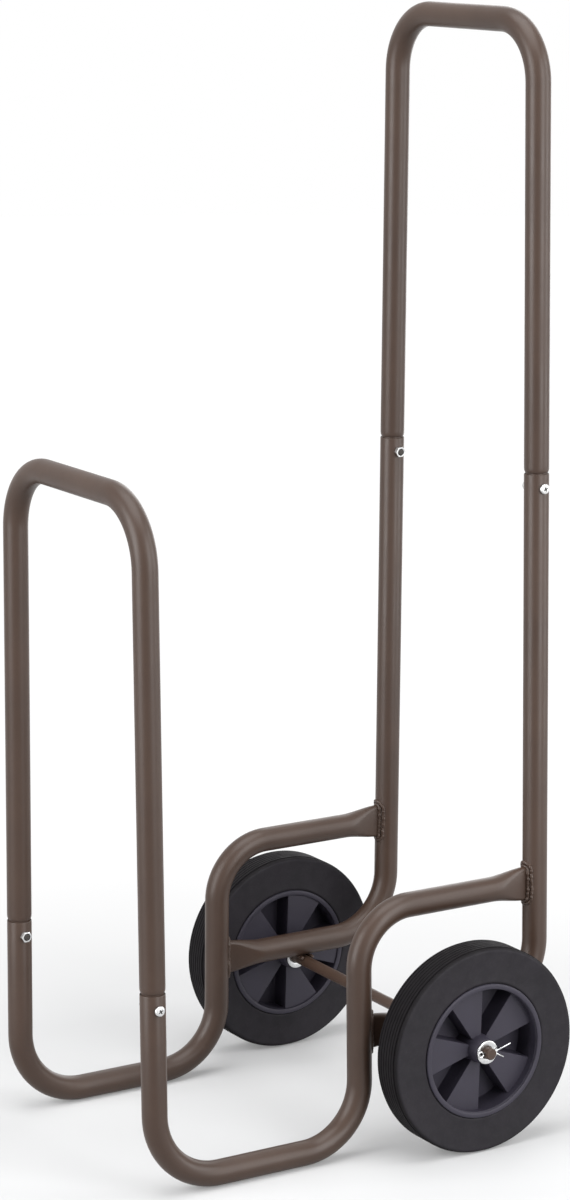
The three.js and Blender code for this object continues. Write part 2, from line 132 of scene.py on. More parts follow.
powder_coat, tree, surface = new_finish("bronze_powder_coat")
place = add_node(tree, "TexCoord", {}).outputs["Object"]
height = add_node(tree, "SeparateXYZ", {"Vector": place}).outputs["Z"]
mottle = ranged(tree, grain(tree, place, 11, 4, 0.6), 0.35, 0.65)
speckle = ranged(tree, grain(tree, place, 900, 2), 0.4, 0.7)
body_shade = mixed(tree, mottle, shade_of(60, 45, 37), shade_of(67, 51, 42))
body_shade = mixed(tree, sums(tree, "MULTIPLY", speckle, 0.25), body_shade, shade_of(48, 36, 29))
rub_top, rub_foot = 0.0035, 0.0012
low_down = ranged(tree, height, rub_top, rub_foot)
rubbed = sums(tree, "MULTIPLY", low_down, ranged(tree, grain(tree, place, 160, 5, 0.7), 0.45, 0.6))
body_shade = mixed(tree, rubbed, body_shade, shade_of(92, 82, 75))
tree.links.new(body_shade, surface.inputs["Base Color"])
satin = ranged(tree, grain(tree, place, 24, 5, 0.6), 0.3, 0.7, 0.34, 0.44)
satin = sums(tree, "ADD", satin, sums(tree, "MULTIPLY", rubbed, 0.25))
tree.links.new(satin, surface.inputs["Roughness"])
surface.inputs["Specular IOR Level"].default_value = 0.36
bumped(tree, surface, grain(tree, place, 700, 2), 0.12, 0.0002)


# Side rails
# Each is one length of 25 mm steel tube: front leg, ground run, middle riser and shelf arm, bent
# cold in one plane. The arm's end is pressed flat in a vice and welded to the rear upright.
tube_radius = 0.0125
tube_wall = 0.0012
touch = 0.0003
tube_sides = 48
bend_step = math.radians(4.5)
side_lean = math.radians(0.95)
floor_half_width = 0.141
front_y = -0.2215
rear_y = 0.2215
riser_y = front_y + 0.232
run_height = tube_radius
front_seam_height = 0.205
shelf_height = 0.246
foot_bend = 0.070
knee_bend = 0.064
shelf_bend = 0.058
pressed_half_height = 0.0175
pressed_length = 0.042
pressed_steps = 14
side_frame = Matrix.Translation((floor_half_width, 0, 0)) @ Matrix.Rotation(-side_lean, 4, "Y")


def up_side(height):
    """A height above the floor, measured along the leaning side frame."""
    return height / math.cos(side_lean)


def start_ring(name, centre, heading, radius, sides):
    """The open end of a tube, a wire or a turned piece, ready to be drawn out along its heading."""
    bpy.ops.object.select_all(action="DESELECT")
    aim = Vector(heading).to_track_quat("Z", "Y").to_euler()
    bpy.ops.mesh.primitive_circle_add(
        vertices=sides, radius=radius, fill_type="NOTHING", location=centre, rotation=aim
    )
    piece = bpy.context.object
    piece.name = name
    bpy.ops.object.mode_set(mode="EDIT")
    bpy.ops.mesh.select_mode(type="VERT")
    bpy.ops.mesh.select_all(action="SELECT")
    return piece


class Bender:
    """A tube bender: it knows where the open end of the tube is and which way it heads."""

    def __init__(self, centre, heading, axis):
        self.centre = Vector(centre)
        self.heading = Vector(heading).normalized()
        self.axis = Vector(axis)

    def feed(self, length):
        step = self.heading * length
        bpy.ops.mesh.extrude_region_move(TRANSFORM_OT_translate={"value": step})
        self.centre = self.centre + step

    def bend(self, angle, radius, step=bend_step):
        pivot = self.centre + self.axis.cross(self.heading) * math.copysign(radius, angle)
        steps = max(2, round(abs(angle) / step))
        bpy.ops.mesh.spin(steps=steps, angle=-angle, center=pivot, axis=self.axis)
        turn = Matrix.Rotation(angle, 3, self.axis)
        self.centre = pivot + turn @ (self.centre - pivot)
        self.heading = turn @ self.heading

    def widen(self, ratio):
        bpy.ops.transform.resize(value=(ratio, ratio, ratio), center_override=self.centre)

    def draw(self, profile):
        """Feeds short lengths, each with the radius that its far end has."""
        for length, radius_ratio in profile:
            self.feed(length)
            self.widen(radius_ratio)


def pick_points(piece, wanted):
    """Selects the points of the piece that pass a test of their place, and nothing else."""
    bpy.ops.mesh.select_mode(type="VERT")
    bpy.ops.mesh.select_all(action="DESELECT")
    mesh = bmesh.from_edit_mesh(piece.data)
    for point in mesh.verts:
        if wanted(piece.matrix_world @ point.co):
            point.select_set(True)
    mesh.select_flush(True)
    bmesh.update_edit_mesh(piece.data)


def press_flat(piece, bender, length, half_height, steps):
    """Draws the tube out while a vice presses it flat. Its girth stays the same."""
    half_width, shift = tube_radius, 0.0
    for k in range(1, steps + 1):
        bender.feed(length / steps)
        share = k / steps
        swell = share * share * (3 - 2 * share)
        new_height = tube_radius + swell * (half_height - tube_radius)
        new_width = (math.pi * tube_radius - 2 * new_height) / (math.pi - 2)
        ratio = new_width / half_width
        bpy.ops.transform.resize(value=(ratio, 1, ratio), center_override=bender.centre)
        lift = (new_height - new_width) - shift * ratio
        centre = bender.centre.copy()
        for way in (1, -1):
            pick_points(piece, lambda p: abs(p.y - centre.y) < 1e-5 and way * (p.z - centre.z) > 1e-5)
            bpy.ops.transform.translate(value=(0, 0, way * lift))
        pick_points(piece, lambda p: abs(p.y - centre.y) < 1e-5)
        half_width, shift = new_width, new_height - new_width


def face_out():
    """Turns every face of the piece being edited outwards and leaves edit mode."""
    bpy.ops.mesh.select_all(action="SELECT")
    bpy.ops.mesh.remove_doubles(threshold=1e-6)
    bpy.ops.mesh.normals_make_consistent(inside=False)
    bpy.ops.object.mode_set(mode="OBJECT")


def work_on(piece):
    bpy.ops.object.select_all(action="DESELECT")
    piece.select_set(True)
    bpy.context.view_layer.objects.active = piece


def apply_tool(piece, kind, **settings):
    work_on(piece)
    tool = piece.modifiers.new(kind.lower(), kind)
    for name, value in settings.items():
        setattr(tool, name, value)
    bpy.ops.object.modifier_apply(modifier=tool.name)


def settle(piece, placing):
    """Moves a finished piece to its place on the cart and writes that place into its mesh."""
    work_on(piece)
    piece.matrix_world = placing @ piece.matrix_world
    bpy.ops.object.transform_apply(location=True, rotation=True, scale=True)


def mirror_copy(piece, name):
    """The same piece for the other side of the cart, mirrored about the middle."""
    work_on(piece)
    bpy.ops.object.duplicate()
    other = bpy.context.object
    other.name = name
    other.scale = (-1, 1, 1)
    bpy.ops.object.transform_apply(location=False, rotation=False, scale=True)
    bpy.ops.object.mode_set(mode="EDIT")
    bpy.ops.mesh.select_all(action="SELECT")
    bpy.ops.mesh.normals_make_consistent(inside=False)
    bpy.ops.object.mode_set(mode="OBJECT")
    return other


def fit(piece, body, slot, finish, *nodes, smooth=35):
    """Gives a finished piece its shading, its finish and its place among the cart's bodies."""
    work_on(piece)
    bpy.ops.object.shade_smooth_by_angle(angle=math.radians(smooth))
    if not any(piece.data.materials):
        piece.data.materials.clear()
        piece.data.materials.append(finish)
    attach(piece, body)
    if nodes:
        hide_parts(*nodes)


def wall_in(piece):
    apply_tool(piece, "SOLIDIFY", thickness=tube_wall, offset=-1, use_even_offset=True)


lip = [(0.00012, 1.018), (0.0002, 1.013), (0.0004, 1.0095)]
lip_start = tube_radius / math.prod(ratio for _, ratio in lip)
lip_length = sum(length for length, _ in lip)

down = (0, 0, -1)
rail_end = (0, front_y, up_side(front_seam_height))
rail = start_ring("right_side_rail", rail_end, down, lip_start, tube_sides)
bender = Bender(rail_end, down, (1, 0, 0))
bender.draw(lip)
bender.feed(up_side(front_seam_height) - up_side(run_height) - foot_bend - lip_length)
bender.bend(math.pi / 2, foot_bend)
bender.feed(riser_y - front_y - foot_bend - knee_bend)
bender.bend(math.pi / 2, knee_bend)
bender.feed(up_side(shelf_height) - up_side(run_height) - knee_bend - shelf_bend)
bender.bend(-math.pi / 2, shelf_bend)
bender.feed(rear_y - tube_radius - touch - pressed_length - bender.centre.y)
press_flat(rail, bender, pressed_length, pressed_half_height, pressed_steps)
face_out()
wall_in(rail)
settle(rail, side_frame)
other_rail = mirror_copy(rail, "left_side_rail")
fit(rail, "frame", "frame_paint", powder_coat, "right_rail")
fit(other_rail, "frame", "frame_paint", powder_coat, "left_rail")


# Rear uprights
# Each is one tube too: an upright that takes the handle, and a low tail that runs forward over
# the axle. The tail's pressed end is welded to the middle riser.
rear_seam_height = 0.663
tail_bend = 0.064
axle_radius = 0.006
axle_y = front_y + 0.338
axle_z = 0.105
tail_height = axle_z + axle_radius + touch + tube_radius

upright_end = (0, rear_y, up_side(rear_seam_height))
upright = start_ring("right_upright", upright_end, down, lip_start, tube_sides)
bender = Bender(upright_end, down, (1, 0, 0))
bender.draw(lip)
bender.feed(up_side(rear_seam_height) - up_side(tail_height) - tail_bend - lip_length)
bender.bend(-math.pi / 2, tail_bend)
bender.feed(bender.centre.y - (riser_y + tube_radius + touch + pressed_length))
press_flat(upright, bender, pressed_length, pressed_half_height, pressed_steps)
face_out()
wall_in(upright)
settle(upright, side_frame)
other_upright = mirror_copy(upright, "left_upright")
fit(upright, "frame", "frame_paint", powder_coat, "right_rear_upright")
fit(other_upright, "frame", "frame_paint", powder_coat, "left_rear_upright")


# Front hoop and handle hoop
# Two inverted U tubes of the same 25 mm steel. Each leg ends in a rounded neck and a thinner
# spigot that slips into the tube below it, where a bolt crosses both.
front_hoop_height = 0.676
front_hoop_bend = 0.066
handle_height = 1.103
handle_bend = 0.060
spigot_length = 0.034
spigot_radius = tube_radius - tube_wall - touch
spigot_taper = 0.96
taper_length = 0.0006
seam_gap = 0.0012
neck_shape = [
    (seam_gap, spigot_radius),
    (0.0003, 0.01145),
    (0.0005, 0.01175),
    (0.0008, 0.01205),
    (0.0012, 0.01230),
    (0.0017, 0.01245),
    (0.0020, tube_radius),
]
neck_length = sum(length for length, _ in neck_shape)
neck_radii = [spigot_radius] + [radius for _, radius in neck_shape]
neck = [(length, radius / neck_radii[k]) for k, (length, radius) in enumerate(neck_shape)]


def side_x(height):
    """How far the middle of a side frame is from the middle of the cart."""
    return floor_half_width - height * math.tan(side_lean)


def bend_hoop(name, y, seam_height, top_height, radius):
    foot = Vector((-side_x(seam_height), y, seam_height))
    corner = Vector((-side_x(top_height), y, top_height))
    up = (corner - foot).normalized()
    end = foot - up * spigot_length
    hoop = start_ring(name, end, up, spigot_radius * spigot_taper, tube_sides)
    bender = Bender(end, up, (0, 1, 0))
    bender.draw([(taper_length, 1 / spigot_taper)])
    bender.feed(spigot_length - taper_length)
    bender.draw(neck)
    turn = math.pi / 2 - side_lean
    setback = radius * math.tan(turn / 2)
    straight = (corner - foot).length - neck_length - setback
    bender.feed(straight)
    bender.bend(turn, radius)
    bender.feed(2 * side_x(top_height) - 2 * setback)
    bender.bend(turn, radius)
    bender.feed(straight)
    bender.draw([(length, 1 / ratio) for length, ratio in reversed(neck)])
    bender.feed(spigot_length - taper_length)
    bender.draw([(taper_length, spigot_taper)])
    face_out()
    wall_in(hoop)
    settle(hoop, Matrix())
    return hoop


front_hoop = bend_hoop("low_hoop", front_y, front_seam_height, front_hoop_height, front_hoop_bend)
handle_hoop = bend_hoop("tall_hoop", rear_y, rear_seam_height, handle_height, handle_bend)
fit(front_hoop, "frame", "frame_paint", powder_coat, "front_hoop")
fit(handle_hoop, "frame", "frame_paint", powder_coat, "handle_hoop")


# Weld beads
# Short runs of weld metal, laid in overlapping drops and painted over with the frame. Two laps
# join each pressed tube end to an upright or riser, and two runs join the axle to each tail.
drop_pitch = 0.0021
drop_wander = 0.0004
melt_grid = 0.0004
pressed_end_laps = (("first", 0.0008, 0.0022), ("second", 0.0042, 0.0019))
axle_bead_length = 0.019
axle_drop_size = 0.0021
flank_y, flank_z = 0.0059, 0.0053
pressed_half_width = (math.pi * tube_radius - 2 * pressed_half_height) / (math.pi - 2)
hand = random.Random(11)


def lay_bead(name, route, drop_size, closed):
    """Drops of weld along a route, melted into one bead."""
    drops = []
    count = len(route)
    sway = Vector((0, 0, 0))
    for i, spot in enumerate(route):
        ahead = route[(i + 1) % count] if closed or i + 1 < count else spot
        behind = route[i - 1] if closed or i else spot
        aim = (ahead - behind).to_track_quat("Z", "Y").to_euler()
        size = drop_size * hand.uniform(0.9, 1.12)
        sway = sway * 0.6 + Vector([hand.uniform(-1, 1) for _ in range(3)]) * drop_wander
        bpy.ops.object.select_all(action="DESELECT")
        bpy.ops.mesh.primitive_ico_sphere_add(
            subdivisions=2, radius=size, location=spot + sway, rotation=aim, scale=(1, 1, 1.15)
        )
        drops.append(bpy.context.object)
    bpy.ops.object.select_all(action="DESELECT")
    for drop in drops:
        drop.select_set(True)
    bpy.context.view_layer.objects.active = drops[0]
    bpy.ops.object.join()
    bead = bpy.context.object
    bead.name = name
    bpy.ops.object.transform_apply(location=True, rotation=True, scale=True)
    apply_tool(bead, "REMESH", mode="VOXEL", voxel_size=melt_grid)
    apply_tool(bead, "SMOOTH", factor=0.5, iterations=3)
    return bead


def round_pressed_end(tube_y, way, height, clearance):
    """The route round a pressed end, on the round face of the tube that it meets."""
    width = pressed_half_width + clearance
    straight = pressed_half_height - pressed_half_width
    girth = 4 * straight + 2 * math.pi * width
    count = round(girth / drop_pitch)
    route = []
    for k in range(count):
        lap, rest = divmod(girth * k / count, girth / 2)
        side = 1 if lap == 0 else -1
        if rest < 2 * straight:
            x, z = side * width, side * (rest - straight)
        else:
            angle = (rest - 2 * straight) / width
            x, z = side * width * math.cos(angle), side * (straight + width * math.sin(angle))
        face_y = tube_y + way * math.sqrt(tube_radius**2 - x**2)
        route.append(Vector((x, face_y, up_side(height) + z)))
    return route


pressed_ends = (("shelf", rear_y, -1, shelf_height), ("tail", riser_y, 1, tail_height))
end_beads = []
for name, tube_y, way, height in pressed_ends:
    for lap, clearance, size in pressed_end_laps:
        route = round_pressed_end(tube_y, way, height, clearance)
        bead = lay_bead(f"right_{name}_weld_{lap}", route, size, True)
        settle(bead, side_frame)
        end_beads.append(bead)
axle_beads = []
for name, side in (("front", -1), ("rear", 1)):
    count = round(axle_bead_length / drop_pitch)
    flank = Vector((side_x(tail_height), axle_y + side * flank_y, axle_z + flank_z))
    route = [flank + Vector(((k / (count - 1) - 0.5) * axle_bead_length, 0, 0)) for k in range(count)]
    axle_beads.append(lay_bead(f"right_axle_weld_{name}", route, axle_drop_size, False))
for bead in end_beads + axle_beads:
    other_bead = mirror_copy(bead, bead.name.replace("right", "left"))
    for piece in (bead, other_bead):
        fit(piece, "frame", "frame_paint", powder_coat, smooth=80)


# Zinc
# Bolts, nuts, washers and split pins are bright zinc plated. The plating is fine-grained, a
# little uneven in colour, and duller in patches where it has been handled.
zinc_plate, tree, surface = new_finish("bright_zinc")
place = add_node(tree, "TexCoord", {}).outputs["Object"]
cloud = ranged(tree, grain(tree, place, 220, 4, 0.6), 0.3, 0.7)
body_shade = mixed(tree, cloud, shade_of(196, 197, 199), shade_of(216, 216, 215))
tree.links.new(body_shade, surface.inputs["Base Color"])
polish = ranged(tree, grain(tree, place, 500, 4), 0.3, 0.7, 0.16, 0.3)
tree.links.new(polish, surface.inputs["Roughness"])
surface.inputs["Metallic"].default_value = 1.0
bumped(tree, surface, grain(tree, place, 2200, 2), 0.15, 0.0001)


# Painted shade in the threads
# The threads, the cross recesses and the nuts' bores are painted dark, as painted shade in these
# hollows.
thread_grime, tree, surface = new_finish("thread_grime")
place = add_node(tree, "TexCoord", {}).outputs["Object"]
shade_mottle = ranged(tree, grain(tree, place, 1400, 3), 0.35, 0.65)
body_shade = mixed(tree, shade_mottle, shade_of(40, 37, 35), shade_of(66, 62, 59))
tree.links.new(body_shade, surface.inputs["Base Color"])
tree.links.new(ranged(tree, shade_mottle, 0, 1, 0.45, 0.65), surface.inputs["Roughness"])
surface.inputs["Specular IOR Level"].default_value = 0.3


# Joint bolts
# Four M6 pan-head machine bolts with a cross recess, one through each hoop leg. The head is on
# the outside of the cart and a short end of thread stands out of the nut inside.
bolt_drop = 0.014
bolt_radius = 0.003
bolt_head_radius = 0.0052
bolt_head_height = 0.0032
bolt_tip = 0.0007
nut_thickness = 0.0042
bolt_seat = tube_radius + touch
bolt_end = -(bolt_seat + nut_thickness + bolt_tip)
bolt_top = bolt_seat + bolt_head_height
head_rim = 0.0012
crown_inset = 0.0019
crown_steps = 6
recess_depth = 0.0017
recess_width = 0.0014
recess_length = 0.0064
recess_turn = 0.5


def turn_piece(name, outline, sides, closed=False):
    """Turns an outline of (along, radius) about the X axis, from its first point to its last."""
    along, radius = outline[0]
    piece = start_ring(name, (along, 0, 0), (1, 0, 0), radius, sides)
    for new_along, new_radius in outline[1:]:
        step = (new_along - along, 0, 0)
        bpy.ops.mesh.extrude_region_move(TRANSFORM_OT_translate={"value": step})
        ratio = new_radius / radius
        bpy.ops.transform.resize(value=(1, ratio, ratio), center_override=(new_along, 0, 0))
        along, radius = new_along, new_radius
    if not closed:
        bpy.ops.mesh.edge_face_add()
        first = outline[0][0]
        pick_points(piece, lambda p: abs(p.x - first) < 1e-7 and p.yz.length < outline[0][1] * 1.01)
        bpy.ops.mesh.edge_face_add()
    face_out()
    return piece


def pick_faces(piece, wanted):
    """Selects the faces whose centre and normal pass a test, and nothing else."""
    bpy.ops.mesh.select_mode(type="FACE")
    bpy.ops.mesh.select_all(action="DESELECT")
    mesh = bmesh.from_edit_mesh(piece.data)
    chosen = [f for f in mesh.faces if wanted(piece.matrix_world @ f.calc_center_median(), f.normal)]
    for face in chosen:
        face.select_set(True)
    mesh.select_flush(True)
    bmesh.update_edit_mesh(piece.data)


def paint_shade(piece, wanted):
    """Gives the faces that pass a test the painted shade, and all the others the zinc."""
    piece.data.materials.clear()
    piece.data.materials.append(zinc_plate)
    piece.data.materials.append(thread_grime)
    work_on(piece)
    bpy.ops.object.mode_set(mode="EDIT")
    pick_faces(piece, wanted)
    piece.active_material_index = 1
    bpy.ops.object.material_slot_assign()
    bpy.ops.object.mode_set(mode="OBJECT")


thread = [(bolt_end, 0.0021), (bolt_end + 0.0004, 0.0026)]
for k in range(3):
    thread += [(bolt_end + 0.0007 + k * 0.001, 0.0029), (bolt_end + 0.0012 + k * 0.001, 0.0025)]
crown = []
for k in range(crown_steps + 1):
    turn = math.radians(90 / crown_steps * k)
    reach = bolt_head_radius - crown_inset * (1 - math.cos(turn))
    crown.append((bolt_seat + head_rim + (bolt_head_height - head_rim) * math.sin(turn), reach))
outline = thread + [(-bolt_seat, bolt_radius), (bolt_seat, bolt_radius)]
outline += [(bolt_seat, bolt_head_radius - 0.0003), (bolt_seat + 0.0003, bolt_head_radius)]
outline += crown + [(crown[-1][0] + 0.0001, 0.0018)]
bolt = turn_piece("right_front_bolt", outline, 32)
for quarter in (0, 1):
    bpy.ops.object.select_all(action="DESELECT")
    bpy.ops.mesh.primitive_cube_add(
        size=1, location=(bolt_top, 0, 0), scale=(2 * recess_depth, recess_width, recess_length)
    )
    blade = bpy.context.object
    bpy.ops.object.mode_set(mode="EDIT")
    pick_points(blade, lambda p: p.x < bolt_top)
    bpy.ops.transform.resize(value=(1, 0.7, 0.45), center_override=blade.location)
    bpy.ops.object.mode_set(mode="OBJECT")
    settle(blade, Matrix.Rotation(quarter * math.pi / 2 + recess_turn, 4, "X"))
    apply_tool(bolt, "BOOLEAN", operation="DIFFERENCE", object=blade, solver="EXACT")
    bpy.data.objects.remove(blade)


# Painted shade goes on the bolt's thread and in its cross recess.
def shaded_on_bolt(spot, normal):
    sunk = bolt_seat + head_rim < spot.x < bolt_top - 0.00005
    on_thread = spot.x < -bolt_seat and abs(normal.x) < 0.9
    return on_thread or (sunk and spot.yz.length < recess_length / 2 + 0.0002)


paint_shade(bolt, shaded_on_bolt)


def bolt_place(y, seam_height):
    return side_frame @ Matrix.Translation((0, y, up_side(seam_height) - bolt_drop))


def copy_piece(piece, name):
    work_on(piece)
    bpy.ops.object.duplicate()
    other = bpy.context.object
    other.name = name
    return other


def fit_at_joints(piece, kind):
    """Puts a fastener at the four joints: the model is for the right front one."""
    rear = copy_piece(piece, f"right_rear_{kind}")
    settle(piece, bolt_place(front_y, front_seam_height))
    settle(rear, bolt_place(rear_y, rear_seam_height))
    for part, spot in ((piece, "front"), (rear, "rear")):
        other = mirror_copy(part, f"left_{spot}_{kind}")
        fit(part, "frame", "zinc", zinc_plate, f"{spot}_right_{kind}", smooth=28)
        fit(other, "frame", "zinc", zinc_plate, f"{spot}_left_{kind}", smooth=28)


fit_at_joints(bolt, "bolt")


# Hex nuts
# Thin M6 nuts, cold forged, with the corners turned off at both faces and a countersunk thread.
nut_across_flats = 0.010
nut_corner = nut_across_flats / math.sqrt(3)
nut_bore_radius = 0.0031
countersink_radius = 0.0041
nut_outer = -(bolt_seat + nut_thickness)
bpy.ops.object.select_all(action="DESELECT")
bpy.ops.mesh.primitive_cylinder_add(
    vertices=6,
    radius=nut_corner,
    depth=nut_thickness,
    location=(-bolt_seat - nut_thickness / 2, 0, 0),
    rotation=(0, math.pi / 2, 0),
)
nut = bpy.context.object
nut.name = "right_front_nut"
bpy.ops.object.transform_apply(location=True, rotation=True, scale=True)
edge = nut_across_flats / 2
turned = turn_piece(
    "nut_blank",
    [(nut_outer - 0.001, edge - 0.0018), (nut_outer + 0.0007, nut_corner + 0.0002)]
    + [(-bolt_seat - 0.0007, nut_corner + 0.0002), (-bolt_seat + 0.001, edge - 0.0018)],
    48,
)
settle(turned, Matrix.Rotation(math.radians(2), 4, "X"))
apply_tool(nut, "BOOLEAN", operation="INTERSECT", object=turned, solver="EXACT")
bpy.data.objects.remove(turned)
bore = turn_piece(
    "nut_bore",
    [(nut_outer - 0.0004, countersink_radius), (nut_outer + 0.0008, nut_bore_radius)]
    + [(-bolt_seat - 0.0008, nut_bore_radius), (-bolt_seat + 0.0004, countersink_radius)],
    32,
)
apply_tool(nut, "BOOLEAN", operation="DIFFERENCE", object=bore, solver="EXACT")
bpy.data.objects.remove(bore)
# Painted shade goes on the nut's bore.
paint_shade(nut, lambda spot, normal: spot.yz.length < nut_bore_radius + 0.0002 and abs(normal.x) < 0.9)
fit_at_joints(nut, "nut")


# Axle
# A 12 mm steel rod, sprayed with the frame after it was welded under the tails. Both ends are
# chamfered, and a hole near each end takes the split pin.
washer_radius = 0.012
washer_thickness = 0.002
pin_wire_radius = 0.0008
pin_hole_radius = 0.0021
inner_washer_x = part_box("right_inner_washer")[0].x
outer_washer_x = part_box("right_outer_washer")[0].x
pin_x = outer_washer_x + washer_thickness + 0.0024
axle_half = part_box("axle")[1].x
chamfer = 0.001
rod_end = [(axle_half, axle_radius - chamfer * 1.1), (axle_half - chamfer * 0.8, axle_radius - 0.0001)]
rod_end += [(axle_half - chamfer * 1.2, axle_radius)]
outline = [(-along, radius) for along, radius in rod_end] + rod_end[::-1]
axle = turn_piece("axle_rod", outline, 40)
settle(axle, Matrix.Translation((0, axle_y, axle_z)))
for side in (-1, 1):
    bpy.ops.object.select_all(action="DESELECT")
    bpy.ops.mesh.primitive_cylinder_add(
        vertices=24,
        radius=pin_hole_radius,
        depth=0.03,
        location=(side * pin_x, axle_y, axle_z),
        rotation=(math.pi / 2, 0, 0),
    )
    drill = bpy.context.object
    apply_tool(axle, "BOOLEAN", operation="DIFFERENCE", object=drill, solver="EXACT")
    bpy.data.objects.remove(drill)
fit(axle, "frame", "frame_paint", powder_coat, "axle", smooth=30)


# Rims
# Each rim is one moulding of grey-black plastic: a barrel with two flanges, a long hub, and a
# web that steps in and out five times, so that flat panels and deep pockets take turns.
hub_radius = 0.014
hub_nose_radius = 0.0124
bore_radius = axle_radius + 0.0004
flange_radius = 0.0684
seat_radius = 0.0645
mouth_radius = 0.0634
throat_radius = 0.0628
rim_half_width = 0.0184
flange_thickness = 0.0026
panel_recess = 0.0100
panel_thickness = 0.0026
pocket_depth = 0.0250
tyre_half_width = 0.018
hub_outer = tyre_half_width + 0.0024
hub_inner = -tyre_half_width - 0.0154
panel_count = 5
panel_phase = math.radians(34.2)
side_wall = 0.0026
core_round = 0.0008
edge_round = 0.0004
web_sides = 120
wheel_x = (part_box("right_tyre")[0].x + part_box("right_tyre")[1].x) / 2
wheel_place = Matrix.Translation((wheel_x, axle_y, axle_z))

moulded_plastic, tree, surface = new_finish("moulded_plastic")
place = add_node(tree, "TexCoord", {}).outputs["Object"]
cloud = ranged(tree, grain(tree, place, 30, 4, 0.6), 0.3, 0.7)
fine = ranged(tree, grain(tree, place, 1500, 2), 0.35, 0.7)
body_shade = mixed(tree, cloud, shade_of(42, 39, 49), shade_of(48, 45, 56))
body_shade = mixed(tree, sums(tree, "MULTIPLY", fine, 0.3), body_shade, shade_of(56, 53, 64))
tree.links.new(body_shade, surface.inputs["Base Color"])
tree.links.new(ranged(tree, grain(tree, place, 60, 4), 0.3, 0.7, 0.46, 0.6), surface.inputs["Roughness"])
surface.inputs["Specular IOR Level"].default_value = 0.3
bumped(tree, surface, grain(tree, place, 1300, 3), 0.2, 0.0002)


def pick_edges(piece, wanted):
    """Selects the edges whose two ends pass a test together, and nothing else."""
    bpy.ops.mesh.select_mode(type="EDGE")
    bpy.ops.mesh.select_all(action="DESELECT")
    mesh = bmesh.from_edit_mesh(piece.data)
    for edge in mesh.edges:
        ends = [piece.matrix_world @ point.co for point in edge.verts]
        if wanted(*ends):
            edge.select_set(True)
    bmesh.update_edit_mesh(piece.data)


front = rim_half_width - panel_recess
back = front - pocket_depth
half = rim_half_width
flange_outer = [
    (half - flange_thickness, seat_radius),
    (half - flange_thickness, flange_radius - 0.0004),
    (half - flange_thickness + 0.0004, flange_radius),
    (half - 0.0008, flange_radius),
    (half - 0.0003, flange_radius - 0.0003),
    (half, flange_radius - 0.0009),
    (half, mouth_radius + 0.0006),
    (half - 0.0003, mouth_radius + 0.0001),
    (half - 0.0010, mouth_radius - 0.0002),
    (half - 0.0016, mouth_radius + 0.0003),
    (half - 0.0024, mouth_radius + 0.0004),
    (half - 0.0030, mouth_radius - 0.0003),
]
barrel_outline = flange_outer + [(front + 0.0004, throat_radius), (back - 0.0004, throat_radius)]
barrel_outline += [(-along, radius) for along, radius in reversed(flange_outer)]
barrel = turn_piece("barrel", barrel_outline + [barrel_outline[0]], web_sides, closed=True)

nose = [
    (front - panel_thickness - 0.0004, hub_radius + 0.0006),
    (front + 0.0006, hub_radius),
    (hub_outer - 0.0012, hub_nose_radius + 0.0002),
    (hub_outer - 0.0004, hub_nose_radius - 0.0003),
    (hub_outer, hub_nose_radius - 0.0011),
    (hub_outer, bore_radius + 0.0006),
    (hub_outer - 0.0006, bore_radius),
]
tail = [
    (hub_inner + 0.0006, bore_radius),
    (hub_inner, bore_radius + 0.0006),
    (hub_inner, hub_radius - 0.0011),
    (hub_inner + 0.0004, hub_radius - 0.0003),
    (hub_inner + 0.0012, hub_radius),
]
hub_outline = nose + tail
hub = turn_piece("hub", hub_outline + [hub_outline[0]], 60, closed=True)

web_outer = (throat_radius + seat_radius) / 2
web_inner = 0.0115
web_outline = [(back, web_inner), (front, web_inner), (front, web_outer), (back, web_outer)]
web = turn_piece("web", web_outline + [web_outline[0]], web_sides, closed=True)


def wedge_core(name, floor_x, face_x, middle):
    """A core that leaves one pocket between two side walls, open where it passes its face."""
    way = math.copysign(1, face_x - floor_x)
    half_angle = math.pi / panel_count / 2
    near, far = web_inner - 0.002, web_outer + 0.004
    bpy.ops.object.select_all(action="DESELECT")
    centre = ((floor_x + face_x) / 2, (near + far) / 2, 0)
    extent = (abs(face_x - floor_x), far - near, 1)
    bpy.ops.mesh.primitive_cube_add(size=1, location=centre, scale=extent)
    core = bpy.context.object
    core.name = name
    bpy.ops.object.transform_apply(location=True, rotation=True, scale=True)
    bpy.ops.object.mode_set(mode="EDIT")
    for reach in (near, far):
        width = 2 * (reach * math.tan(half_angle) - side_wall / 2 / math.cos(half_angle))
        pick_points(core, lambda p: abs(p.y - reach) < 1e-5)
        bpy.ops.transform.resize(value=(1, 1, width), center_override=(0, reach, 0))

    def along_floor(a, b):
        return abs(a.x - floor_x) + abs(b.x - floor_x) < 1e-5 and abs(a.y - b.y) > 0.01

    pick_edges(core, along_floor)
    bpy.ops.mesh.bevel(offset=core_round, segments=3)
    pick_points(core, lambda p: abs(p.x - face_x) < 1e-5)
    bpy.ops.transform.translate(value=(-way * edge_round, 0, 0))
    bpy.ops.mesh.extrude_region_move(TRANSFORM_OT_translate={"value": (way * edge_round, 0, 0)})
    for side in (-1, 1):
        pick_points(core, lambda p: abs(p.x - face_x) < 1e-5 and p.z * side > 0)
        bpy.ops.transform.translate(value=(0, 0, side * edge_round))
    pick_points(core, lambda p: abs(p.x - face_x) < 1e-5)
    bpy.ops.mesh.extrude_region_move(TRANSFORM_OT_translate={"value": (way * 0.004, 0, 0)})
    face_out()
    settle(core, Matrix.Rotation(middle, 4, "X"))
    return core


